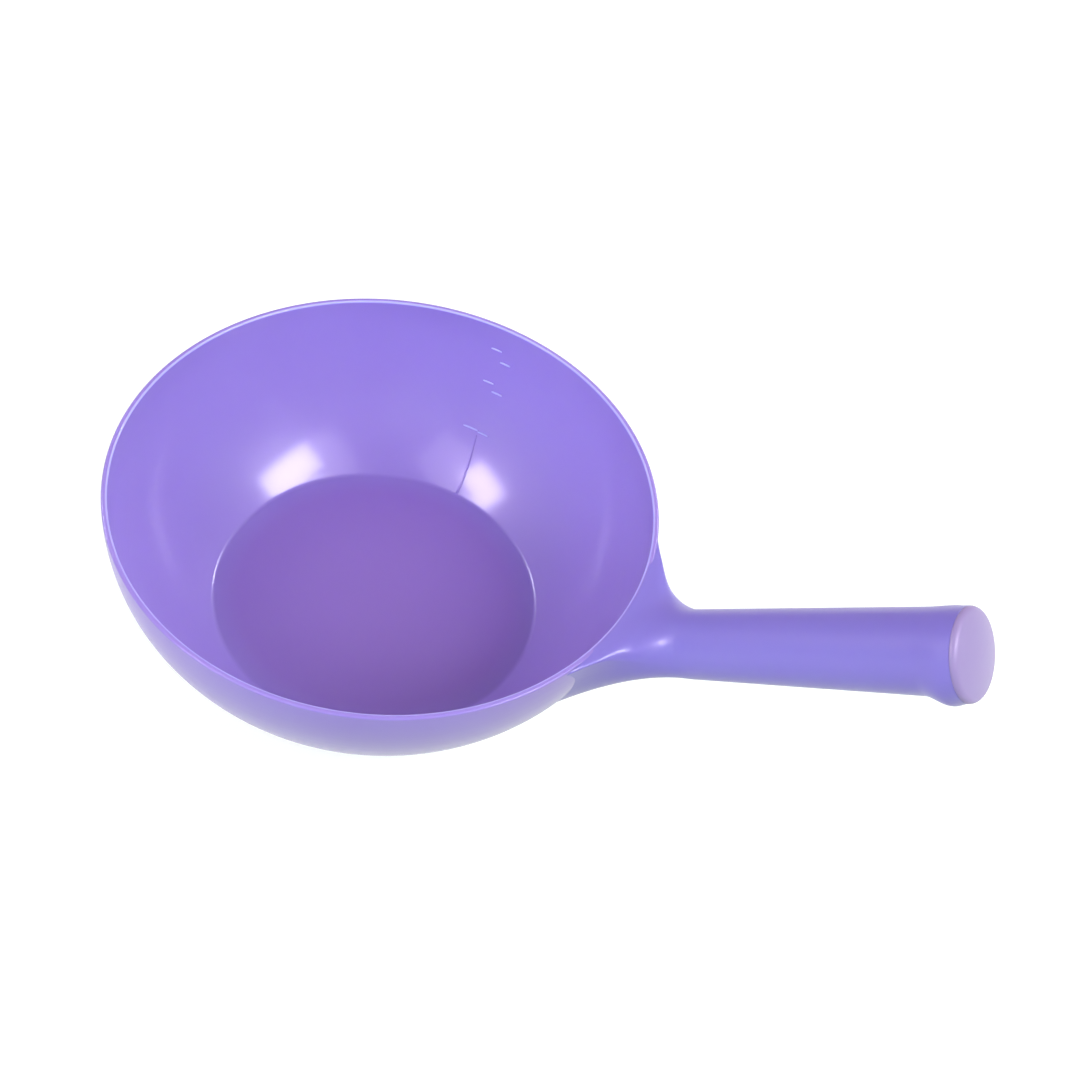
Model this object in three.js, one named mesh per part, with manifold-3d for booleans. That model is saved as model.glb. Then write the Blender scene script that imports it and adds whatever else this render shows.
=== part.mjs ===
// Hair colour mixing bowl: a round measuring bowl with a hollow, upward-sloping handle on one side.
// Millimetres, +Z up. The origin is the centre of the base on the table, and the handle points along +X.
import * as THREE from "three";
import { mergeVertices } from "three/addons/utils/BufferGeometryUtils.js";
import Module from "manifold-3d";

const wasm = await Module();
wasm.setup();

// ---- Driving dimensions ----
const RIM_RADIUS = 65;
const INNER_DEPTH = 40.8;
const INNER_FLOOR_RADIUS = 40.3;
const FLOOR_THICKNESS = 1.9;
const RIM_THICKNESS = 1.4;
const RIM_ROUNDING = 0.45;
const BASE_RADIUS = 40;
const JOINT_GAP = 0.3; // clearance between neighbouring pieces

const PAD_RADIUS = 36;
const PAD_THICKNESS = 1.3;
const PAD_STANDS_PROUD = 0.8;
const PAD_CHAMFER = 0.3;

const HANDLE_SLOPE = THREE.MathUtils.degToRad(34.9);
const HANDLE_AXIS_DROP = 12.1; // below the rim, where the handle's axis crosses the rim radius
const NECK_END = 19.5; // distances along the handle's axis, from that crossing
const HANDLE_END = 85.6;
const NECK_RADIUS = 7.9;
const GRIP_END_RADIUS = 9.45;
const LIP = 1.95; // how far the lip under the handle's end stands out
const LIP_START = 76.5;
const LIP_FULL = 82.2;
const LIP_AT_FACE = 1.1; // the lip rounds off to this at the end face
const BORE_START = 25;
const BORE_RADIUS = 6.4;

const CAP_EDGE = 1.6; // length of the cap's rounded edge along the axis
const CAP_DOME = 1.1; // further rise of the face inside the rounded edge
const PLUG_LENGTH = 9;
const PLUG_WALL = 1.3;

const TONGUE_WIDTH = 9;
const TONGUE_HEIGHT = 5.5;
const TONGUE_START = -14;
const TONGUE_END = 13;

const METRIC_MARK_HEIGHTS = [12.2, 23.7, 33.3]; // above the floor, on the side away from the handle
const OUNCE_MARK_HEIGHTS = [12.0, 21.8, 30.2]; // above the floor, on the handle's side
const MARK_LENGTH = 3;
const FIRST_MARK_LENGTH = 4;
const MARK_HEIGHT = 0.45;
const MARK_PROUD = 0.25;
const LINE_AZIMUTH = THREE.MathUtils.degToRad(90.4);
const MARKS_AZIMUTH = THREE.MathUtils.degToRad(92);

const ROUND_SEGMENTS = 80;
const WALL_STEPS = 16;
const HANDLE_SEGMENTS = 40;
const NECK_STEPS = 14;

// ---- Heights that follow ----
const BASE_Z = PAD_STANDS_PROUD;
const FLOOR_Z = BASE_Z + FLOOR_THICKNESS;
const RIM_Z = FLOOR_Z + INNER_DEPTH;

// ---- Solids ----
const v2 = (x, y) => new THREE.Vector2(x, y);

function solid(geometry) {
  const bare = geometry.index ? geometry.toNonIndexed() : geometry.clone();
  bare.deleteAttribute("normal");
  bare.deleteAttribute("uv");
  const merged = mergeVertices(bare, 1e-4);
  return new wasm.Manifold(
    new wasm.Mesh({
      numProp: 3,
      vertProperties: merged.attributes.position.array,
      triVerts: new Uint32Array(merged.index.array),
    }),
  );
}

function geometryOf(manifold) {
  const mesh = manifold.getMesh();
  const geometry = new THREE.BufferGeometry();
  geometry.setAttribute("position", new THREE.BufferAttribute(mesh.vertProperties, 3));
  geometry.setIndex(new THREE.BufferAttribute(mesh.triVerts, 1));
  return geometry;
}

// A solid of revolution about Z. The profile runs from the axis at the bottom, outwards and up, to the axis.
function turned(profile) {
  const geometry = new THREE.LatheGeometry(profile, ROUND_SEGMENTS);
  return solid(geometry.rotateX(Math.PI / 2));
}

// A closed solid through a list of sections across the handle. Each section spans from `top` to `bottom`, two
// points in the XZ plane, and reaches `halfWidth` either side in Y at the share `shoulder` of its height. Above
// and below the shoulder it is a superellipse, with a squareness of 2 where it is round and more where it is boxy.
function loft(sections) {
  const steps = sections.length - 1;
  const geometry = new THREE.CylinderGeometry(1, 1, 1, HANDLE_SEGMENTS, steps);
  const position = geometry.attributes.position;
  for (let i = 0; i < position.count; i++) {
    const section = sections[Math.round((position.getY(i) + 0.5) * steps)];
    const { top, bottom, halfWidth, shoulder, upper, lower } = section;
    const above = position.getZ(i) > 0;
    const squareness = above ? upper : lower;
    const up = squared(position.getZ(i), squareness) * (above ? 1 - shoulder : shoulder);
    const place = bottom.clone().lerp(top, shoulder + up);
    position.setXYZ(i, place.x, -squared(position.getX(i), squareness) * halfWidth, place.y);
  }
  return solid(geometry);
}

// The superellipse's version of a sine or cosine. Rounding makes the first and last points of a ring meet.
function squared(value, squareness) {
  const rounded = Math.round(value * 1e6) / 1e6;
  return Math.sign(rounded) * Math.abs(rounded) ** (2 / squareness);
}

// ---- Bowl wall ----
const outerWall = new THREE.QuadraticBezierCurve(
  v2(BASE_RADIUS, BASE_Z),
  v2(RIM_RADIUS + 0.6, RIM_Z - 25.2),
  v2(RIM_RADIUS, RIM_Z - RIM_ROUNDING),
);
const innerWall = new THREE.QuadraticBezierCurve(
  v2(INNER_FLOOR_RADIUS, FLOOR_Z),
  v2(RIM_RADIUS - 1.1, RIM_Z - 24.2),
  v2(RIM_RADIUS - RIM_THICKNESS, RIM_Z - RIM_ROUNDING),
);

// The wall's outline moved outwards by `grow`.
function outerOutline(grow) {
  return outerWall.getPoints(WALL_STEPS).map((point, i) => {
    const tangent = outerWall.getTangent(i / WALL_STEPS);
    return v2(point.x + tangent.y * grow, point.y - tangent.x * grow);
  });
}

// The bowl's outside as if it were solid, grown by `grow` all round.
function bowlBlank(grow) {
  return turned([
    v2(0, BASE_Z - grow),
    ...outerOutline(grow),
    v2(RIM_RADIUS - RIM_ROUNDING * 0.3 + grow, RIM_Z - RIM_ROUNDING * 0.3 + grow),
    v2(RIM_RADIUS - RIM_ROUNDING + grow, RIM_Z + grow),
    v2(0, RIM_Z + grow),
  ]);
}

// The space inside the bowl, opening out a little at the rim's rounded inner edge.
function bowlHollow() {
  const innerRim = RIM_RADIUS - RIM_THICKNESS;
  return turned([
    v2(0, FLOOR_Z),
    ...innerWall.getPoints(WALL_STEPS),
    v2(innerRim + RIM_ROUNDING * 0.3, RIM_Z - RIM_ROUNDING * 0.3),
    v2(innerRim + RIM_ROUNDING, RIM_Z),
    v2(innerRim + RIM_ROUNDING, RIM_Z + 5),
    v2(0, RIM_Z + 5),
  ]);
}

// ---- Graduations ----
// The point of the inner wall at a height above the floor.
function wallPointAtHeight(height) {
  const steps = 400;
  for (let i = 1; i <= steps; i++) {
    const point = innerWall.getPoint(i / steps);
    if (point.y >= FLOOR_Z + height) return { point, tangent: innerWall.getTangent(i / steps) };
  }
  throw new Error("the bowl is too shallow for " + height);
}

// A raised line on the inner wall, `side` +1 or -1 from the scale's centre line.
function levelMark(height, length, side) {
  const { point, tangent } = wallPointAtHeight(height);
  const depth = 2 * MARK_PROUD;
  const bar = new THREE.BoxGeometry(depth, length, MARK_HEIGHT);
  const azimuth = MARKS_AZIMUTH + (side * length) / 2 / point.x;
  bar.rotateY(Math.atan2(tangent.x, tangent.y));
  bar.translate(point.x, 0, point.y);
  bar.rotateZ(azimuth);
  return solid(bar);
}

// The short upright line under the lowest marks, from the floor's edge.
function scaleLine() {
  const from = innerWall.getPoint(0.02);
  const to = innerWall.getPoint(0.2);
  const length = from.distanceTo(to);
  const bar = new THREE.BoxGeometry(2 * MARK_PROUD + 0.3, MARK_HEIGHT, length);
  bar.rotateY(Math.atan2(to.x - from.x, to.y - from.y));
  bar.translate((from.x + to.x) / 2, 0, (from.y + to.y) / 2);
  bar.rotateZ(LINE_AZIMUTH);
  return solid(bar);
}

// ---- Handle geometry ----
const along = v2(Math.cos(HANDLE_SLOPE), Math.sin(HANDLE_SLOPE));
const upright = v2(-Math.sin(HANDLE_SLOPE), Math.cos(HANDLE_SLOPE));
const axisPoint = (distance) =>
  v2(RIM_RADIUS, RIM_Z - HANDLE_AXIS_DROP).addScaledVector(along, distance);

// The grip's round section at a distance along its axis. Towards the end the circle grows downwards only,
// which makes the lip under the end. `shrink` moves the outline inwards all round.
function gripSection(distance, shrink = 0) {
  const run = (distance - NECK_END) / (HANDLE_END - NECK_END);
  const radius = THREE.MathUtils.lerp(NECK_RADIUS, GRIP_END_RADIUS, run) - shrink;
  const rise = LIP * THREE.MathUtils.smoothstep(distance, LIP_START, LIP_FULL);
  const lip = rise - (LIP - LIP_AT_FACE) * THREE.MathUtils.smoothstep(distance, LIP_FULL, HANDLE_END);
  const centre = axisPoint(distance);
  return {
    top: centre.clone().addScaledVector(upright, radius),
    bottom: centre.clone().addScaledVector(upright, -radius - lip),
    halfWidth: radius + lip / 2,
    shoulder: 0.5,
    upper: 2,
    lower: 2,
  };
}

// Guide curves of the neck, which spreads from the grip to a broad foot against the bowl's wall. Its top
// leaves the rim level and turns up into the grip, and its underside runs down the wall.
const neckEnd = gripSection(NECK_END);
const neckTop = new THREE.QuadraticBezierCurve(
  v2(61, RIM_Z - 0.6),
  v2(neckEnd.top.x - (neckEnd.top.y - RIM_Z + 0.6) / Math.tan(HANDLE_SLOPE), RIM_Z - 0.6),
  neckEnd.top,
);
const neckUnderside = new THREE.QuadraticBezierCurve(v2(51, 10), v2(69, 30), neckEnd.bottom);
const neckHalfWidth = new THREE.QuadraticBezierCurve(v2(0, 23.5), v2(0.5, 10), v2(1, NECK_RADIUS));

function neckSection(t) {
  const roundness = THREE.MathUtils.smoothstep(t, 0.2, 1);
  return {
    top: neckTop.getPoint(t),
    bottom: neckUnderside.getPoint(t),
    halfWidth: neckHalfWidth.getPoint(t).y,
    shoulder: THREE.MathUtils.lerp(0.9, 0.5, roundness),
    upper: THREE.MathUtils.lerp(9, 2, roundness),
    lower: THREE.MathUtils.lerp(2.6, 2, roundness),
  };
}

// A round bar along the handle's axis.
function axialBar(radius, from, to) {
  const bar = new THREE.CylinderGeometry(radius, radius, to - from, HANDLE_SEGMENTS);
  const middle = axisPoint((from + to) / 2);
  bar.rotateZ(-Math.PI / 2);
  bar.rotateY(-HANDLE_SLOPE);
  bar.translate(middle.x, 0, middle.y);
  return solid(bar);
}

// The flat tongue on the bowl's wall that the handle is pushed over, larger all round by `grow`.
function tongue(grow) {
  const length = TONGUE_END - TONGUE_START + 2 * grow;
  const bar = new THREE.BoxGeometry(length, TONGUE_WIDTH + 2 * grow, TONGUE_HEIGHT + 2 * grow);
  const middle = axisPoint((TONGUE_START + TONGUE_END) / 2);
  bar.rotateY(-HANDLE_SLOPE);
  bar.translate(middle.x, 0, middle.y);
  return solid(bar);
}

// ---- Pieces ----
function bowlShell() {
  const padRecess = turned([
    v2(0, BASE_Z - 1),
    v2(PAD_RADIUS + JOINT_GAP, BASE_Z - 1),
    v2(PAD_RADIUS + JOINT_GAP, PAD_THICKNESS + JOINT_GAP),
    v2(0, PAD_THICKNESS + JOINT_GAP),
  ]);
  let shell = bowlBlank(0).add(tongue(0)).subtract(bowlHollow()).subtract(padRecess);
  METRIC_MARK_HEIGHTS.forEach((height, i) => {
    shell = shell.add(levelMark(height, i ? MARK_LENGTH : FIRST_MARK_LENGTH, +1));
  });
  OUNCE_MARK_HEIGHTS.forEach((height) => {
    shell = shell.add(levelMark(height, MARK_LENGTH, -1));
  });
  return shell.add(scaleLine());
}

function handleBody() {
  const neck = Array.from({ length: NECK_STEPS }, (_, i) => neckSection(i / NECK_STEPS));
  const stations = [NECK_END, 30, 42, 54, 66, LIP_START, 78, 79.6, 81, LIP_FULL, 83.8, HANDLE_END];
  const grip = stations.map((distance) => gripSection(distance));
  return loft([...neck, ...grip])
    .subtract(bowlBlank(JOINT_GAP))
    .subtract(tongue(JOINT_GAP))
    .subtract(axialBar(BORE_RADIUS, BORE_START, HANDLE_END + 1));
}

function endCap() {
  const start = HANDLE_END + JOINT_GAP;
  const edge = [0, 0.25, 0.5, 0.75, 1].map((share) => {
    const angle = (share * Math.PI) / 2;
    return [Math.sin(angle) * CAP_EDGE, (1 - Math.cos(angle)) * CAP_EDGE];
  });
  const dome = [0.3, 0.6, 0.9].map((share) => [
    CAP_EDGE + CAP_DOME * (1 - (1 - share) ** 2),
    CAP_EDGE + share * (GRIP_END_RADIUS - CAP_EDGE),
  ]);
  const face = loft([...edge, ...dome].map(([rise, shrink]) => faceSection(start + rise, shrink)));
  const plugRadius = BORE_RADIUS - JOINT_GAP;
  return face
    .add(axialBar(plugRadius, start - PLUG_LENGTH, start + 0.5))
    .subtract(axialBar(plugRadius - PLUG_WALL, start - PLUG_LENGTH - 1, start));
}

// The cap keeps the outline of the handle's end.
function faceSection(distance, shrink) {
  const end = gripSection(HANDLE_END, shrink);
  const shift = along.clone().multiplyScalar(distance - HANDLE_END);
  end.top.add(shift);
  end.bottom.add(shift);
  end.halfWidth = Math.max(end.halfWidth, 0.2);
  return end;
}

function basePad() {
  return turned([
    v2(0, 0),
    v2(PAD_RADIUS - PAD_CHAMFER, 0),
    v2(PAD_RADIUS, PAD_CHAMFER),
    v2(PAD_RADIUS, PAD_THICKNESS),
    v2(0, PAD_THICKNESS),
  ]);
}

// ---- Assembly ----
const LILAC = 0x9480d8;
const plastic = (color) => new THREE.MeshStandardMaterial({ color, roughness: 0.28, metalness: 0 });
const rubber = new THREE.MeshStandardMaterial({ color: 0x6d5aa8, roughness: 0.8, metalness: 0 });

const bowl = new THREE.Group();
const pieces = [
  ["bowl_shell", bowlShell(), plastic(LILAC)],
  ["handle", handleBody(), plastic(LILAC)],
  ["handle_end_cap", endCap(), plastic(0xa796e2)],
  ["non_slip_base_pad", basePad(), rubber],
];
for (const [name, made, material] of pieces) {
  const mesh = new THREE.Mesh(geometryOf(made), material);
  mesh.name = name;
  bowl.add(mesh);
}

export default bowl;
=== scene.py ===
"""Hair colour mixing bowl: the visible pieces, materials, lights and camera."""
import math

import bpy
from mathutils import Matrix, Vector


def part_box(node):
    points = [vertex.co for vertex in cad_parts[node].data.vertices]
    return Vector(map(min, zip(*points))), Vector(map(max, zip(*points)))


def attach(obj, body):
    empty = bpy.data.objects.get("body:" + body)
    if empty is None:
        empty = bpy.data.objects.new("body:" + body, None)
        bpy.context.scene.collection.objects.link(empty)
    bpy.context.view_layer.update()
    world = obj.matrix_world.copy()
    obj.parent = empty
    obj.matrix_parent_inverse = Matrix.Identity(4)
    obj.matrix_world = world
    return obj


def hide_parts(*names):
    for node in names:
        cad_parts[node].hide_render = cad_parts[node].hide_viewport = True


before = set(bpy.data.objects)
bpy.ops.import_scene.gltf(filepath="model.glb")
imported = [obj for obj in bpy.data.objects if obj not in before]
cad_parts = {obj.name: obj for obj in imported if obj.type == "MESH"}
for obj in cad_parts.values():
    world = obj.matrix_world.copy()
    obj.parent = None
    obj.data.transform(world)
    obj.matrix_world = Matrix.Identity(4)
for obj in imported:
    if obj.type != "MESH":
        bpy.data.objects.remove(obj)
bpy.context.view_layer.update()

MM = 0.001

# ---- Sizes, in metres, from the frame ----
shell_low, shell_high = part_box("bowl_shell")
_, pad_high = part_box("non_slip_base_pad")
RIM_RADIUS = shell_high.y
RIM_Z = shell_high.z
BASE_Z = shell_low.z
PAD_RADIUS = pad_high.x
PAD_TOP = pad_high.z

# ---- Sizes that the frame doesn't list ----
BASE_RADIUS = 40 * MM
BASE_ROUNDING = 1.6 * MM
FLOOR_RADIUS = 40.3 * MM
FLOOR_Z = BASE_Z + 1.9 * MM
FLOOR_FILLET = 2.2 * MM
RIM_THICKNESS = 1.4 * MM
RIM_ROUNDING = 0.45 * MM
OUTER_CONTROL = (RIM_RADIUS + 0.6 * MM, RIM_Z - 25.2 * MM)
INNER_CONTROL = (RIM_RADIUS - 1.1 * MM, RIM_Z - 24.2 * MM)
RECESS_RADIUS = PAD_RADIUS + 0.15 * MM
RECESS_Z = PAD_TOP + 0.1 * MM
RECESS_ROUNDING = 0.25 * MM

HANDLE_SLOPE = math.radians(34.9)
HANDLE_AXIS_DROP = 12.1 * MM
NECK_END = 19.5 * MM
HANDLE_END = 85.6 * MM
NECK_RADIUS = 7.9 * MM
GRIP_END_RADIUS = 9.45 * MM
LIP = 1.95 * MM
LIP_START = 76.5 * MM
LIP_FULL = 82.2 * MM
LIP_AT_FACE = 1.1 * MM
CAP_SEAM = 0.03 * MM
CAP_INSET = 0.05 * MM
CAP_EDGE = 1.6 * MM
CAP_DOME = 1.4 * MM
WALL_OVERLAP = 0.25 * MM
RIM_OVERLAP = 0.75 * MM

SCALE_AZIMUTH = math.radians(89.7)
SCALE_LEAN = math.radians(2.4)
METRIC_MARK_HEIGHTS = (12.2 * MM, 23.7 * MM, 33.3 * MM)
OUNCE_MARK_HEIGHTS = (12.0 * MM, 21.8 * MM, 30.2 * MM)
MARK_LENGTH = 3 * MM
FIRST_MARK_LENGTH = 4.2 * MM
MARK_WIDTH = 0.5 * MM
METRIC_MARK_PROUD = 0.2 * MM
OUNCE_MARK_PROUD = 0.35 * MM
LINE_FOOT_WIDTH = 0.75 * MM
LINE_TOP_WIDTH = 0.3 * MM
LINE_PROUD = 0.3 * MM
RIB_SUNK = 0.12 * MM

PAD_MIDDLE = 9 * MM
PAD_ROUNDING = 0.4 * MM
GROOVES = 6
FIRST_GROOVE = 11 * MM
GROOVE_PITCH = 4 * MM
GROOVE_WIDTH = 1.4 * MM
GROOVE_SLOPE = 0.2 * MM
GROOVE_DEPTH = 0.35 * MM
GROOVE_ROUNDING = 0.1 * MM

# ---- How finely the meshes are divided ----
BOWL_SEGMENTS = 256
WALL_STEPS = 44
MARK_STEPS = 14
LINE_STEPS = 30
HANDLE_COLUMNS = 112
NECK_STEPS = 56
GRIP_STEPS = 30
LIP_STEPS = 28
START_LEVELS = 12
CAP_EDGE_STEPS = 12
CAP_DOME_STEPS = 17


# ---- Small maths ----
def mix(a, b, share):
    return a + (b - a) * share


def smoothstep(value, low, high):
    share = min(1, max(0, (value - low) / (high - low)))
    return share * share * (3 - 2 * share)


def bezier(start, control, end, t):
    """A point of a quadratic curve, for points of any number of coordinates."""
    return tuple(
        (1 - t) ** 2 * a + 2 * t * (1 - t) * b + t * t * c for a, b, c in zip(start, control, end)
    )


def reach_of(holds):
    """The share between 0 and 1 up to which a test holds, found by halving."""
    low, high = 0.0, 1.0
    for _ in range(30):
        middle = (low + high) / 2
        if holds(middle):
            low = middle
        else:
            high = middle
    return low


def rounded(corners, steps=8):
    """The outline through (r, z, radius) corners, each turned into an arc of its radius."""
    outline = []
    for i, (r, z, radius) in enumerate(corners):
        here = Vector((r, z))
        if radius == 0 or i in (0, len(corners) - 1):
            outline.append(here)
            continue
        before = (Vector(corners[i - 1][:2]) - here).normalized()
        after = (Vector(corners[i + 1][:2]) - here).normalized()
        half = before.angle(after) / 2
        reach = radius / math.tan(half)
        centre = here + (before + after).normalized() * (radius / math.sin(half))
        first = here + before * reach - centre
        last = here + after * reach - centre
        turn = first.angle_signed(last)
        outline.append(here + before * reach * 1.25)
        for step in range(steps + 1):
            spoke = first.copy()
            spoke.rotate(Matrix.Rotation(-turn * step / steps, 2))
            outline.append(centre + spoke)
        outline.append(here + after * reach * 1.25)
    return outline


# ---- Mesh building ----
def new_piece(name, points, faces, node, slot):
    """A mesh object on the one body, standing for a CAD node or riding beside it."""
    mesh = bpy.data.meshes.new(name)
    mesh.from_pydata([tuple(p) for p in points], [], faces)
    mesh.validate()
    mesh.shade_smooth()
    piece = bpy.data.objects.new(name, mesh)
    bpy.context.scene.collection.objects.link(piece)
    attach(piece, "root")
    if node:
        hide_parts(node)
    return piece


def ring_faces(first, second, count):
    """The quads between two rings of points that start at the given indices."""
    return [
        (first + i, first + (i + 1) % count, second + (i + 1) % count, second + i)
        for i in range(count)
    ]


def turned(outline, segments):
    """Points and faces of an outline turned about Z, which starts and ends on the axis."""
    points = [(0, 0, outline[0].y)]
    for r, z in outline[1:-1]:
        for i in range(segments):
            angle = 2 * math.pi * i / segments
            points.append((r * math.cos(angle), r * math.sin(angle), z))
    points.append((0, 0, outline[-1].y))
    last = len(points) - 1
    rings = [1 + segments * k for k in range(len(outline) - 2)]
    faces = [(0, 1 + (i + 1) % segments, 1 + i) for i in range(segments)]
    for first, second in zip(rings, rings[1:]):
        faces += ring_faces(first, second, segments)
    faces += [(last, rings[-1] + i, rings[-1] + (i + 1) % segments) for i in range(segments)]
    return points, faces


# ---- Bowl ----
def outer_wall(t):
    return bezier((BASE_RADIUS, BASE_Z), OUTER_CONTROL, (RIM_RADIUS, RIM_Z), t)


def inner_wall(t):
    return bezier((FLOOR_RADIUS, FLOOR_Z), INNER_CONTROL, (RIM_RADIUS - RIM_THICKNESS, RIM_Z), t)


def bowl_outline():
    """From the axis under the base, up the outside, over the rim and down to the floor."""
    inside = [k / WALL_STEPS for k in range(2, WALL_STEPS - 1)]
    corners = [
        (0, RECESS_Z, 0),
        (RECESS_RADIUS, RECESS_Z, RECESS_ROUNDING),
        (RECESS_RADIUS, BASE_Z, RECESS_ROUNDING),
        (BASE_RADIUS, BASE_Z, BASE_ROUNDING),
        *[(*outer_wall(t), 0) for t in inside],
        (RIM_RADIUS, RIM_Z, RIM_ROUNDING),
        (RIM_RADIUS - RIM_THICKNESS, RIM_Z, RIM_ROUNDING),
        *[(*inner_wall(t), 0) for t in reversed(inside)],
        (FLOOR_RADIUS, FLOOR_Z, FLOOR_FILLET),
        (0, FLOOR_Z, 0),
    ]
    return rounded(corners)


def wall_share_at_height(height):
    """How far up the inner wall's curve a height above the floor is."""
    return reach_of(lambda t: inner_wall(t)[1] < FLOOR_Z + height)


def scale_azimuth(t):
    """The azimuth of the scale's centre line, which leans away from the handle as it rises."""
    return SCALE_AZIMUTH + SCALE_LEAN * smoothstep(t, 0, 0.4)


def wall_frame(t, azimuth):
    """A point of the inner wall, with its directions round, up the wall and into the bowl."""
    r, z = inner_wall(t)
    r_up, z_up = inner_wall(t + 0.001)
    r_down, z_down = inner_wall(t - 0.001)
    slope = math.atan2(z_up - z_down, r_up - r_down)
    outwards = Vector((math.cos(azimuth), math.sin(azimuth), 0))
    around = Vector((-math.sin(azimuth), math.cos(azimuth), 0))
    place = outwards * r + Vector((0, 0, z))
    up = outwards * math.cos(slope) + Vector((0, 0, math.sin(slope)))
    inwards = -outwards * math.sin(slope) + Vector((0, 0, math.cos(slope)))
    return place, around, up, inwards


def ridge(route, widths, height):
    """Points and faces of a low rounded rib along (place, sideways, inwards) stations."""
    arc = [math.pi * k / 8 for k in range(9)]
    points = []
    faces = []
    for (place, sideways, inwards), width in zip(route, widths):
        crest = height * min(1, width / widths[0] + 0.2)
        for a in arc:
            foot = RIB_SUNK if a in (arc[0], arc[-1]) else 0
            across = sideways * (math.cos(a) * width / 2)
            points.append(place + across + inwards * (math.sin(a) * crest - foot))
    count = len(arc)
    for station in range(len(route) - 1):
        faces += ring_faces(station * count, (station + 1) * count, count)
    faces.append(tuple(range(count - 1, -1, -1)))
    faces.append(tuple(len(points) - count + k for k in range(count)))
    return points, faces


def level_mark(height, length, side, proud):
    """A level rib on one side of the scale's centre line, narrower at its ends."""
    t = wall_share_at_height(height)
    radius = inner_wall(t)[0]
    route = []
    widths = []
    for k in range(MARK_STEPS + 1):
        share = k / MARK_STEPS
        azimuth = scale_azimuth(t) + side * (0.02 + share) * length / radius
        place, _, up, inwards = wall_frame(t, azimuth)
        route.append((place, up * side, inwards))
        widths.append(MARK_WIDTH * (1 - 0.5 * abs(2 * share - 1) ** 6))
    return ridge(route, widths, proud)


def scale_line():
    """The upright rib from the floor's edge to the lowest marks, thinner towards its top."""
    foot = 0.012
    top = wall_share_at_height(METRIC_MARK_HEIGHTS[0]) * 0.93
    route = []
    widths = []
    for k in range(LINE_STEPS + 1):
        share = k / LINE_STEPS
        t = mix(foot, top, share)
        place, around, _, inwards = wall_frame(t, scale_azimuth(t))
        route.append((place, -around, inwards))
        widths.append(mix(LINE_FOOT_WIDTH, LINE_TOP_WIDTH, share))
    return ridge(route, widths, LINE_PROUD)


def joined(parts):
    """One list of points and faces from several."""
    points = []
    faces = []
    for part_points, part_faces in parts:
        start = len(points)
        points += part_points
        faces += [tuple(start + i for i in face) for face in part_faces]
    return points, faces


# ---- Handle ----
along = Vector((math.cos(HANDLE_SLOPE), math.sin(HANDLE_SLOPE)))
upright = Vector((-math.sin(HANDLE_SLOPE), math.cos(HANDLE_SLOPE)))


def grip_section(distance, shrink=0.0, lip_from=None):
    """The grip's section at a distance along its axis: top, bottom, half width and shape."""
    station = distance if lip_from is None else lip_from
    run = (station - NECK_END) / (HANDLE_END - NECK_END)
    radius = mix(NECK_RADIUS, GRIP_END_RADIUS, run) - shrink
    lip = LIP * smoothstep(station, LIP_START, LIP_FULL)
    lip -= (LIP - LIP_AT_FACE) * smoothstep(station, LIP_FULL, HANDLE_END)
    centre = Vector((RIM_RADIUS, RIM_Z - HANDLE_AXIS_DROP)) + along * distance
    return {
        "top": centre + upright * radius,
        "bottom": centre - upright * (radius + lip),
        "half_width": radius + lip / 2,
        "shoulder": 0.5,
        "upper": 2.0,
        "lower": 2.0,
    }


neck_end = grip_section(NECK_END)
NECK_TOP_Z = RIM_Z + 0.04 * MM
NECK_TOP = (
    (61 * MM, NECK_TOP_Z),
    (neck_end["top"].x - (neck_end["top"].y - NECK_TOP_Z) / math.tan(HANDLE_SLOPE), NECK_TOP_Z),
    tuple(neck_end["top"]),
)
NECK_UNDERSIDE = ((51 * MM, 10 * MM), (69 * MM, 30 * MM), tuple(neck_end["bottom"]))
NECK_HALF_WIDTH = ((23.5 * MM,), (10 * MM,), (NECK_RADIUS,))


def neck_section(t):
    """The neck's section at a share of its guide curves, from inside the wall to the grip."""
    roundness = smoothstep(t, 0.2, 1)
    return {
        "top": Vector(bezier(*NECK_TOP, t)),
        "bottom": Vector(bezier(*NECK_UNDERSIDE, t)),
        "half_width": bezier(*NECK_HALF_WIDTH, t)[0],
        "shoulder": mix(0.95, 0.5, roundness),
        "upper": mix(4, 2, smoothstep(t, 0.1, 0.6)),
        "lower": mix(3.3, 2, roundness),
    }


def squared(value, squareness):
    return math.copysign(abs(value) ** (2 / squareness), value)


def section_point(section, angle):
    """A point of a section's outline, at an angle from its +Y side."""
    across = math.cos(angle)
    rise = math.sin(angle)
    above = rise > 0
    squareness = section["upper"] if above else section["lower"]
    reach = (1 - section["shoulder"]) if above else section["shoulder"]
    height = section["shoulder"] + squared(rise, squareness) * reach
    place = section["bottom"].lerp(section["top"], height)
    return Vector((place.x, squared(across, squareness) * section["half_width"], place.y))


def outer_radius(z):
    """The radius of the bowl's outside at a height."""
    return outer_wall(reach_of(lambda t: outer_wall(t)[1] < z))[0]


def hidden_radius(z):
    """How far out the neck may start at a height: within the wall, or within the rim's top."""
    over_rim = smoothstep(z, RIM_Z - 0.5 * MM, RIM_Z)
    return mix(outer_radius(z) - WALL_OVERLAP, RIM_RADIUS - RIM_OVERLAP, over_rim)


def neck_start(angle):
    """The share of the neck's guide curves at which this line of its surface leaves the bowl."""

    def inside(t):
        place = section_point(neck_section(t), angle)
        return math.hypot(place.x, place.y) < hidden_radius(place.z)

    return reach_of(inside)


handle_angles = [2 * math.pi * k / HANDLE_COLUMNS for k in range(HANDLE_COLUMNS)]


def tube_faces(rows):
    """The quads between successive rings of points of a handle surface, and its far end face."""
    faces = []
    for row in range(rows - 1):
        first = row * HANDLE_COLUMNS
        faces += [face[::-1] for face in ring_faces(first, first + HANDLE_COLUMNS, HANDLE_COLUMNS)]
    faces.append(tuple((rows - 1) * HANDLE_COLUMNS + k for k in range(HANDLE_COLUMNS - 1, -1, -1)))
    return faces


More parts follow.
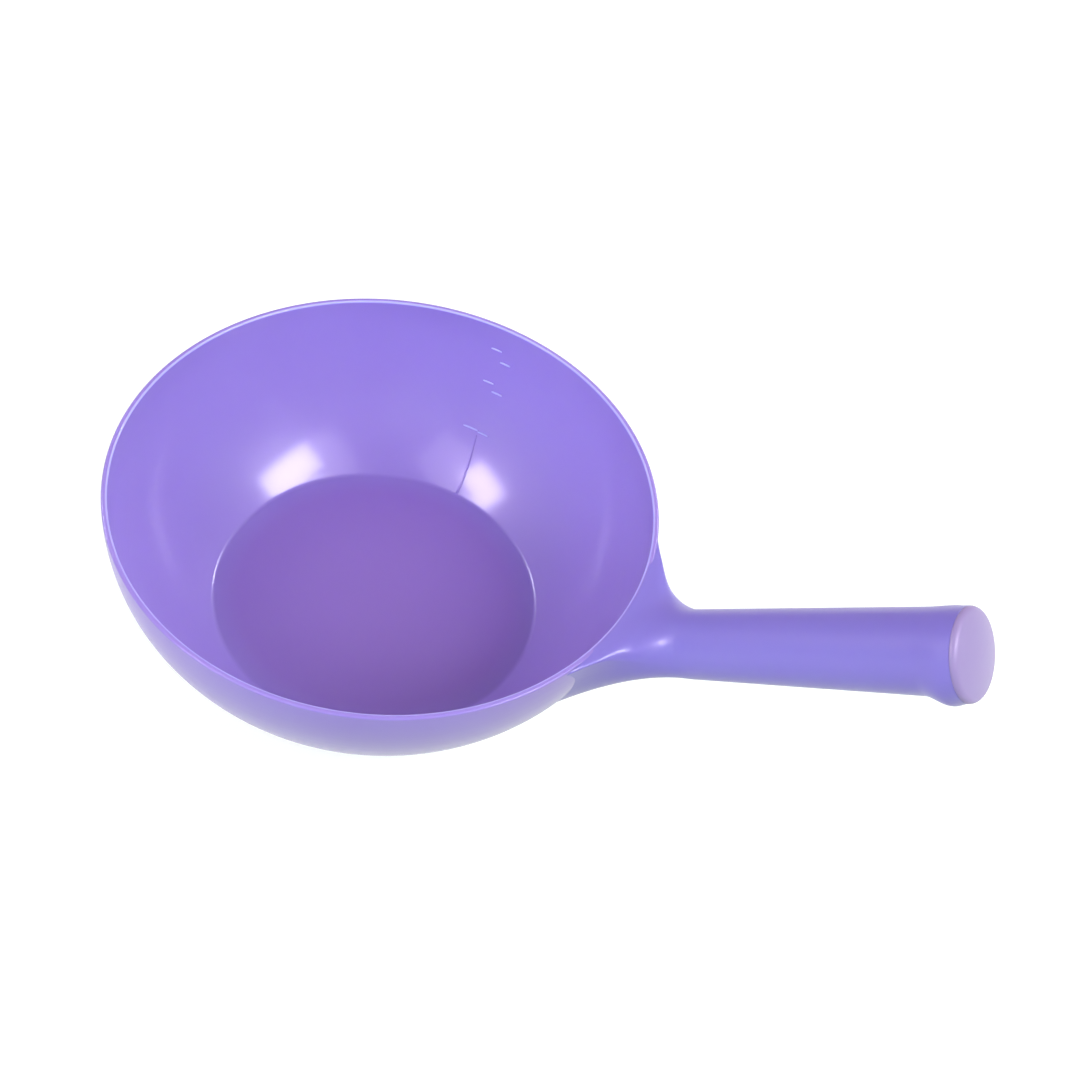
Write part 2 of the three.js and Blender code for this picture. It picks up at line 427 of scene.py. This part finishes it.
def handle_surface():
    """Points and faces of the neck and grip, from the bowl's wall to the end face."""
    starts = [neck_start(angle) for angle in handle_angles]
    stations = [mix(NECK_END, LIP_START, k / GRIP_STEPS) for k in range(1, GRIP_STEPS + 1)]
    stations += [mix(LIP_START, HANDLE_END, k / LIP_STEPS) for k in range(1, LIP_STEPS + 1)]
    points = []
    for step in range(NECK_STEPS + 1):
        share = (step / NECK_STEPS) ** 1.3
        points += [
            section_point(neck_section(mix(start, 1, share)), angle)
            for start, angle in zip(starts, handle_angles)
        ]
    for distance in stations:
        section = grip_section(distance)
        points += [section_point(section, angle) for angle in handle_angles]
    faces = tube_faces(NECK_STEPS + 1 + len(stations))
    close_inside_wall(points, faces)
    return points, faces


def close_inside_wall(points, faces):
    """Close the neck's open start with faces that follow the bowl's wall, hidden inside it."""
    half = HANDLE_COLUMNS // 2
    columns = [[0] * (START_LEVELS + 1)]
    for k in range(1, half):
        above = points[k]
        below = points[HANDLE_COLUMNS - k]
        column = [k]
        for level in range(1, START_LEVELS):
            place = above.lerp(below, level / START_LEVELS)
            radius = hidden_radius(place.z)
            azimuth = math.atan2(place.y, place.x)
            column.append(len(points))
            points.append(Vector((radius * math.cos(azimuth), radius * math.sin(azimuth), place.z)))
        columns.append([*column, HANDLE_COLUMNS - k])
    columns.append([half] * (START_LEVELS + 1))
    for left, right in zip(columns, columns[1:]):
        for level in range(START_LEVELS):
            corners = (left[level], right[level], right[level + 1], left[level + 1])
            faces.append(tuple(dict.fromkeys(corners)))


def cap_surface():
    """Points and faces of the end cap's rounded edge and domed face."""
    turns = [math.pi / 2 * k / CAP_EDGE_STEPS for k in range(1, CAP_EDGE_STEPS - 1)]
    profile = [(0.0, CAP_INSET)]
    profile += [(math.sin(a) * CAP_EDGE, (1 - math.cos(a)) * CAP_EDGE) for a in turns]
    edge_rise, edge_shrink = profile[-1]
    inner = GRIP_END_RADIUS + LIP_AT_FACE / 2 - edge_shrink
    for k in range(1, CAP_DOME_STEPS):
        share = k / CAP_DOME_STEPS
        profile.append((edge_rise + CAP_DOME * (1 - (1 - share) ** 2), edge_shrink + share * inner))
    points = []
    for rise, shrink in profile:
        section = grip_section(HANDLE_END + CAP_SEAM + rise, shrink, HANDLE_END)
        points += [section_point(section, angle) for angle in handle_angles]
    return points, [tuple(range(HANDLE_COLUMNS)), *tube_faces(len(profile))]


# ---- Base pad ----
def pad_outline():
    """A flat disc with shallow ring grooves in its underside."""
    corners = [(0, 0, 0), (PAD_MIDDLE, 0, 0)]
    for k in range(GROOVES):
        inner = FIRST_GROOVE + GROOVE_PITCH * k
        outer = inner + GROOVE_WIDTH
        corners += [
            (inner, 0, GROOVE_ROUNDING),
            (inner + GROOVE_SLOPE, GROOVE_DEPTH, GROOVE_ROUNDING),
            (outer - GROOVE_SLOPE, GROOVE_DEPTH, GROOVE_ROUNDING),
            (outer, 0, GROOVE_ROUNDING),
        ]
    corners += [(PAD_RADIUS, 0, PAD_ROUNDING), (PAD_RADIUS, PAD_TOP, 0.1 * MM), (0, PAD_TOP, 0)]
    return rounded(corners, steps=4)


# ---- Materials ----
COLOUR_DRIFT_SCALE = 18
WEAR_SCALE = 60
PLASTIC_GRAIN_SCALE = 900
DUST_SCALE = 90
RUBBER_GRAIN_SCALE = 1400


class Shading:
    """A new material's node tree, with one short call for each kind of node used here."""

    def __init__(self, name):
        self.material = bpy.data.materials.new(name)
        self.material.use_nodes = True
        self.nodes = self.material.node_tree.nodes
        self.link = self.material.node_tree.links.new
        self.shader = self.nodes["Principled BSDF"]
        self.place = self.nodes.new("ShaderNodeTexCoord").outputs["Object"]

    def set(self, **sockets):
        """Set the shader's own sockets; an underscore stands for a space."""
        for socket, value in sockets.items():
            self.shader.inputs[socket.replace("_", " ")].default_value = value

    def noise(self, scale, detail, place=None):
        node = self.nodes.new("ShaderNodeTexNoise")
        node.inputs["Scale"].default_value = scale
        node.inputs["Detail"].default_value = detail
        self.link(place or self.place, node.inputs["Vector"])
        return node.outputs["Fac"]

    def calculate(self, operation, first, second):
        """A math node's result; the second value is a number or another node's output."""
        node = self.nodes.new("ShaderNodeMath")
        node.operation = operation
        self.link(first, node.inputs[0])
        if isinstance(second, (int, float)):
            node.inputs[1].default_value = second
        else:
            self.link(second, node.inputs[1])
        return node.outputs["Value"]

    def ramp(self, value, low, high):
        """A colour between two (position, colour) stops."""
        node = self.nodes.new("ShaderNodeValToRGB")
        for element, (position, colour) in zip(node.color_ramp.elements, (low, high)):
            element.position = position
            element.color = (*colour, 1)
        self.link(value, node.inputs["Fac"])
        return node.outputs["Color"]

    def spread(self, value, source, target=(0, 1), interpolation="LINEAR"):
        """A value moved from one range to another."""
        node = self.nodes.new("ShaderNodeMapRange")
        node.interpolation_type = interpolation
        node.inputs["From Min"].default_value, node.inputs["From Max"].default_value = source
        node.inputs["To Min"].default_value, node.inputs["To Max"].default_value = target
        self.link(value, node.inputs["Value"])
        return node.outputs["Result"]

    def relief(self, height, strength, distance, under=None):
        """A bump's normal, on top of another bump's if one is given."""
        node = self.nodes.new("ShaderNodeBump")
        node.inputs["Strength"].default_value = strength
        node.inputs["Distance"].default_value = distance
        self.link(height, node.inputs["Height"])
        if under:
            self.link(under, node.inputs["Normal"])
        return node.outputs["Normal"]

    def polar(self):
        """The radius and angle round the Z axis, and the height."""
        split = self.nodes.new("ShaderNodeSeparateXYZ")
        self.link(self.place, split.inputs["Vector"])
        flat = self.nodes.new("ShaderNodeCombineXYZ")
        self.link(split.outputs["X"], flat.inputs["X"])
        self.link(split.outputs["Y"], flat.inputs["Y"])
        radius = self.nodes.new("ShaderNodeVectorMath")
        radius.operation = "LENGTH"
        self.link(flat.outputs["Vector"], radius.inputs[0])
        turn = self.calculate("ARCTAN2", split.outputs["Y"], split.outputs["X"])
        return radius.outputs["Value"], turn, split.outputs["Z"]

    def vector(self, x, y, z):
        node = self.nodes.new("ShaderNodeCombineXYZ")
        for value, socket in zip((x, y, z), "XYZ"):
            self.link(value, node.inputs[socket])
        return node.outputs["Vector"]

    def paint_light_band(self, colour, painted_colour, radius, radii, height, heights, strength):
        """A colour turned to a painted shade or highlight colour in a band of radius and height,
        each as (none, full).
        """
        painted_mask = self.calculate(
            "MULTIPLY",
            self.spread(radius, radii, interpolation="SMOOTHSTEP"),
            self.spread(height, heights, interpolation="SMOOTHSTEP"),
        )
        blend = self.nodes.new("ShaderNodeMix")
        blend.data_type = "RGBA"
        factor, under, over = blend.inputs[0], blend.inputs[6], blend.inputs[7]
        self.link(self.calculate("MULTIPLY", painted_mask, strength), factor)
        self.link(colour, under)
        over.default_value = (*painted_colour, 1)
        return blend.outputs[2]


def plastic(name, base, deep, roughness, coat, scratch_scale, painted_bands=()):
    """Glossy moulded polypropylene with faint colour drift, grain and fine scratches, and painted
    shade or highlight in any bands given.
    """
    look = Shading(name)
    look.set(IOR=1.49, Specular_IOR_Level=0.35, Coat_Weight=coat[0], Coat_Roughness=coat[1])
    look.set(Subsurface_Weight=0.35, Subsurface_Radius=(1.0, 0.6, 0.8), Subsurface_Scale=0.8 * MM)
    radius, turn, height = look.polar()

    colour = look.ramp(look.noise(COLOUR_DRIFT_SCALE, 3), (0.3, deep), (0.7, base))
    # Painted shade and highlight bands, each laid over the colour in its own band of radius and
    # height.
    for painted_colour, radii, heights, strength in painted_bands:
        colour = look.paint_light_band(colour, painted_colour, radius, radii, height, heights, strength)
    look.link(colour, look.shader.inputs["Base Color"])

    # Round scratches: noise that is fine across the radius and long round the axis.
    wound = look.vector(
        look.calculate("MULTIPLY", radius, scratch_scale),
        look.calculate("MULTIPLY", turn, 1.5),
        look.calculate("MULTIPLY", height, scratch_scale * 0.6),
    )
    scratches = look.noise(1, 4, wound)
    wear = look.calculate("ADD", scratches, look.noise(WEAR_SCALE, 5))
    gloss = look.spread(wear, (0.6, 1.4), (roughness - 0.03, roughness + 0.05))
    look.link(gloss, look.shader.inputs["Roughness"])

    grain = look.relief(look.noise(PLASTIC_GRAIN_SCALE, 2), 0.12, 0.02 * MM)
    lines = look.relief(scratches, 0.08, 0.02 * MM, under=grain)
    look.link(lines, look.shader.inputs["Normal"])
    return look.material


def rubber(name, base):
    """Matt soft rubber with a fine grain and dust caught in it."""
    look = Shading(name)
    look.set(IOR=1.5)
    dust = look.noise(DUST_SCALE, 6)
    dusty = [mix(c, 0.5, 0.25) for c in base]
    look.link(look.ramp(dust, (0.45, base), (0.8, dusty)), look.shader.inputs["Base Color"])
    look.link(look.spread(dust, (0, 1), (0.6, 0.9)), look.shader.inputs["Roughness"])
    grain = look.relief(look.noise(RUBBER_GRAIN_SCALE, 3), 0.4, 0.05 * MM)
    look.link(grain, look.shader.inputs["Normal"])
    return look.material


LILAC = (0.27, 0.18, 0.59)
LILAC_DEEP = (0.255, 0.162, 0.56)
LILAC_PAINTED_SHADE = (0.25, 0.12, 0.5)
LILAC_PAINTED_HIGHLIGHT = (0.45, 0.42, 0.9)
HANDLE_LILAC = (0.225, 0.17, 0.6)
HANDLE_DEEP = (0.215, 0.155, 0.57)
CAP_LILAC = (0.31, 0.225, 0.47)
CAP_DEEP = (0.29, 0.2, 0.46)
PAD_VIOLET = (0.09, 0.055, 0.2)
# Painted shade: near floor height and within the floor's radius, the bowl's colour is turned darker
# and redder for the shade that falls on the floor inside the bowl.
FLOOR_PAINTED_SHADE = (
    LILAC_PAINTED_SHADE,
    (41.5 * MM, 33 * MM),
    (FLOOR_Z + 2.2 * MM, FLOOR_Z + 0.3 * MM),
    0.6,
)
# Painted highlight: a pale blue band along the top of the rim's inner rounding, standing in for the
# lights' reflection there.
RIM_PAINTED_HIGHLIGHT = (
    LILAC_PAINTED_HIGHLIGHT,
    (RIM_RADIUS - 0.85 * MM, RIM_RADIUS - 1.2 * MM),
    (RIM_Z - 0.6 * MM, RIM_Z - 0.2 * MM),
    0.7,
)
BOWL_SCRATCHES = 2600
HANDLE_SCRATCHES = 1500
SHARP_ANGLE = math.radians(40)


# ---- Pieces ----
bowl = new_piece("bowl", *turned(bowl_outline(), BOWL_SEGMENTS), "bowl_shell", "lilac_plastic")
marks = [
    level_mark(height, FIRST_MARK_LENGTH if i == 0 else MARK_LENGTH, +1, METRIC_MARK_PROUD)
    for i, height in enumerate(METRIC_MARK_HEIGHTS)
]
marks += [level_mark(height, MARK_LENGTH, -1, OUNCE_MARK_PROUD) for height in OUNCE_MARK_HEIGHTS]
scale = new_piece("level_scale", *joined([*marks, scale_line()]), None, "lilac_plastic")
handle = new_piece("neck_and_grip", *handle_surface(), "handle", "handle_plastic")
cap = new_piece("end_cap", *cap_surface(), "handle_end_cap", "cap_plastic")
pad = new_piece(
    "base_pad", *turned(pad_outline(), BOWL_SEGMENTS), "non_slip_base_pad", "pad_rubber"
)

# The bowl's plastic carries the painted shade on its floor and the painted highlight along the
# rim's inner edge.
bowl_plastic = plastic(
    "lilac_bowl_plastic", LILAC, LILAC_DEEP, 0.36, (0.5, 0.13), BOWL_SCRATCHES, (FLOOR_PAINTED_SHADE, RIM_PAINTED_HIGHLIGHT)
)
# The marks' plastic is a paler copy of the lilac: a painted highlight where the raised marks catch
# the light.
mark_highlight_plastic = plastic("lilac_mark_painted_highlight_plastic", LILAC_PAINTED_HIGHLIGHT, LILAC, 0.3, (0.8, 0.08), BOWL_SCRATCHES)
handle_plastic = plastic(
    "lilac_handle_plastic", HANDLE_LILAC, HANDLE_DEEP, 0.38, (0.25, 0.14), HANDLE_SCRATCHES
)
cap_plastic = plastic(
    "lilac_cap_plastic", CAP_LILAC, CAP_DEEP, 0.45, (0.15, 0.25), HANDLE_SCRATCHES
)
for piece, materials in (
    (bowl, [bowl_plastic]),
    (scale, [mark_highlight_plastic, bowl_plastic]),
    (handle, [handle_plastic]),
    (cap, [cap_plastic]),
    (pad, [rubber("pad_rubber", PAD_VIOLET)]),
):
    for material in materials:
        piece.data.materials.append(material)

# The marks' faces come first in the scale's mesh and take the paler plastic with its painted
# highlight; the upright line's faces come last and take the bowl's plastic.
mark_faces = sum(len(faces) for _, faces in marks)
for polygon in scale.data.polygons:
    polygon.material_index = 1 if polygon.index >= mark_faces else 0
for piece in (bowl, handle, cap, pad):
    piece.data.set_sharp_from_angle(angle=SHARP_ANGLE)


# ---- Stage, light and camera ----
FLOOR_HALF_WIDTH = 4.0
BACKDROP_RADIUS = 3.9
BACKDROP_HEIGHT = 3
BACKDROP_SEGMENTS = 64
STAGE_ALBEDO = 0.35
STAGE_GLOW = 0.72

LIGHTS_AIM = Vector((0.02, 0, 0.02))
FILL_DISTANCE = 1.2
FILL_SIZE = (0.6, 0.6)
# Lights for shading: name, azimuth and elevation in degrees, and power in watts of each colour.
FILLS = (
    ("fill_right_high", 8, 42, (11.3, 12.1, 9.8)),
    ("fill_front", -75, 32, (6.7, 8.5, 7.7)),
    ("fill_front_left", -115, 20, (6.2, 8.2, 7.8)),
    ("fill_right_low", 25, 20, (5.1, 7.2, 6.0)),
    ("fill_left", 200, 30, (4.9, 4.9, 3.7)),
    ("fill_left_high", -122, 40, (1.6, 0.6, 0.8)),
    ("fill_back", 110, 40, (3.2, 3.2, 3.2)),
    ("fill_back_low", 105, 8, (7, 7, 7)),
)
SOFTBOX_DISTANCE = 0.9
# Lights for reflections: name, azimuth, elevation, size, power, roll and the one piece lit.
SOFTBOXES = (
    ("key_right", 4, 49, (0.40, 0.19), (5.4, 5.3, 5.4), -6, None),
    ("glow_right", -4, 54, (0.62, 0.36), (2.1, 2, 2.2), -6, None),
    ("key_left", -129, 46, (0.27, 0.17), (3.5, 3.2, 3.4), 0, None),
    ("glow_left", -116, 50, (0.58, 0.32), (1.9, 1.8, 2), 0, None),
    ("strip_back_right", 75, 36, (0.16, 0.1), (2.4, 2.5, 2.8), 0, bowl),
    ("strip_back_left", 166, 41, (0.16, 0.1), (2.4, 2.5, 2.8), 0, bowl),
)

CAMERA_AIM = Vector((37.8, 6.6, 43.5)) * MM
CAMERA_AZIMUTH = -70.58
CAMERA_ELEVATION = 49.54
CAMERA_DISTANCE = 417.6 * MM
CAMERA_ROLL = 11.23
CAMERA_LENS = 60
CAMERA_SENSOR = 36


def direction(azimuth, elevation):
    """The unit vector towards an azimuth and elevation in degrees."""
    a = math.radians(azimuth)
    e = math.radians(elevation)
    return Vector((math.cos(a) * math.cos(e), math.sin(a) * math.cos(e), math.sin(e)))


def stage_piece(name, points, faces):
    """A pale, faintly glowing surface of the studio, which casts no bounce light on the bowl."""
    mesh = bpy.data.meshes.new(name)
    mesh.from_pydata(points, [], faces)
    piece = bpy.data.objects.new(name, mesh)
    bpy.context.scene.collection.objects.link(piece)
    material = bpy.data.materials.new("pale_" + name)
    material.use_nodes = True
    shader = material.node_tree.nodes["Principled BSDF"]
    shader.inputs["Base Color"].default_value = (STAGE_ALBEDO, STAGE_ALBEDO, STAGE_ALBEDO, 1)
    shader.inputs["Roughness"].default_value = 0.7
    shader.inputs["Emission Color"].default_value = (1, 1, 1, 1)
    shader.inputs["Emission Strength"].default_value = STAGE_GLOW
    mesh.materials.append(material)
    piece.visible_diffuse = False
    return piece


def floor():
    """A plain square floor under the bowl."""
    half = FLOOR_HALF_WIDTH
    corners = [(-half, -half, 0), (half, -half, 0), (half, half, 0), (-half, half, 0)]
    stage_piece("floor", corners, [(0, 1, 2, 3)])


def backdrop():
    """A pale round wall far behind the bowl, seen by the camera alone, behind level views."""
    around = [2 * math.pi * k / BACKDROP_SEGMENTS for k in range(BACKDROP_SEGMENTS)]
    points = [
        (BACKDROP_RADIUS * math.cos(a), BACKDROP_RADIUS * math.sin(a), z)
        for z in (0, BACKDROP_HEIGHT)
        for a in around
    ]
    wall = stage_piece("backdrop", points, ring_faces(0, BACKDROP_SEGMENTS, BACKDROP_SEGMENTS))
    wall.visible_glossy = False


def area_light(name, azimuth, elevation, distance, size, power, glossy, roll=0, only=None):
    """A rectangular light facing the bowl, for reflections alone or for shading alone."""
    lamp = bpy.data.lights.new(name, "AREA")
    lamp.shape = "RECTANGLE"
    lamp.size, lamp.size_y = size
    lamp.energy = max(power)
    lamp.color = [share / max(power) for share in power]
    holder = bpy.data.objects.new(name, lamp)
    towards = direction(azimuth, elevation)
    holder.location = LIGHTS_AIM + towards * distance
    level = towards.to_track_quat("Z", "Y").to_matrix()
    facing = level @ Matrix.Rotation(math.radians(roll), 3, "Z")
    holder.rotation_euler = facing.to_euler()
    holder.visible_camera = False
    holder.visible_diffuse = not glossy
    holder.visible_glossy = glossy
    bpy.context.scene.collection.objects.link(holder)
    if only:
        lit = bpy.data.collections.new(name + "_lights_only")
        lit.objects.link(only)
        holder.light_linking.receiver_collection = lit


def camera():
    """The photograph's viewpoint: over the front of the bowl, the handle to the right."""
    away = direction(CAMERA_AZIMUTH, CAMERA_ELEVATION)
    data = bpy.data.cameras.new("camera")
    data.lens = CAMERA_LENS
    data.sensor_width = CAMERA_SENSOR
    holder = bpy.data.objects.new("camera", data)
    level = away.to_track_quat("Z", "Y").to_matrix().to_4x4()
    roll = Matrix.Rotation(math.radians(CAMERA_ROLL), 4, "Z")
    holder.matrix_world = Matrix.Translation(CAMERA_AIM + away * CAMERA_DISTANCE) @ level @ roll
    bpy.context.scene.collection.objects.link(holder)
    bpy.context.scene.camera = holder


def studio():
    """A dim, faintly pink surround and the lights."""
    scene = bpy.context.scene
    scene.view_settings.view_transform = "Standard"
    world = bpy.data.worlds.new("studio")
    world.use_nodes = True
    sky = world.node_tree.nodes["Background"]
    sky.inputs["Color"].default_value = (1, 0.86, 0.95, 1)
    sky.inputs["Strength"].default_value = 0.08
    scene.world = world
    for name, azimuth, elevation, power in FILLS:
        area_light(name, azimuth, elevation, FILL_DISTANCE, FILL_SIZE, power, False)
    for name, azimuth, elevation, size, power, roll, only in SOFTBOXES:
        area_light(name, azimuth, elevation, SOFTBOX_DISTANCE, size, power, True, roll, only)


floor()
backdrop()
studio()
camera()
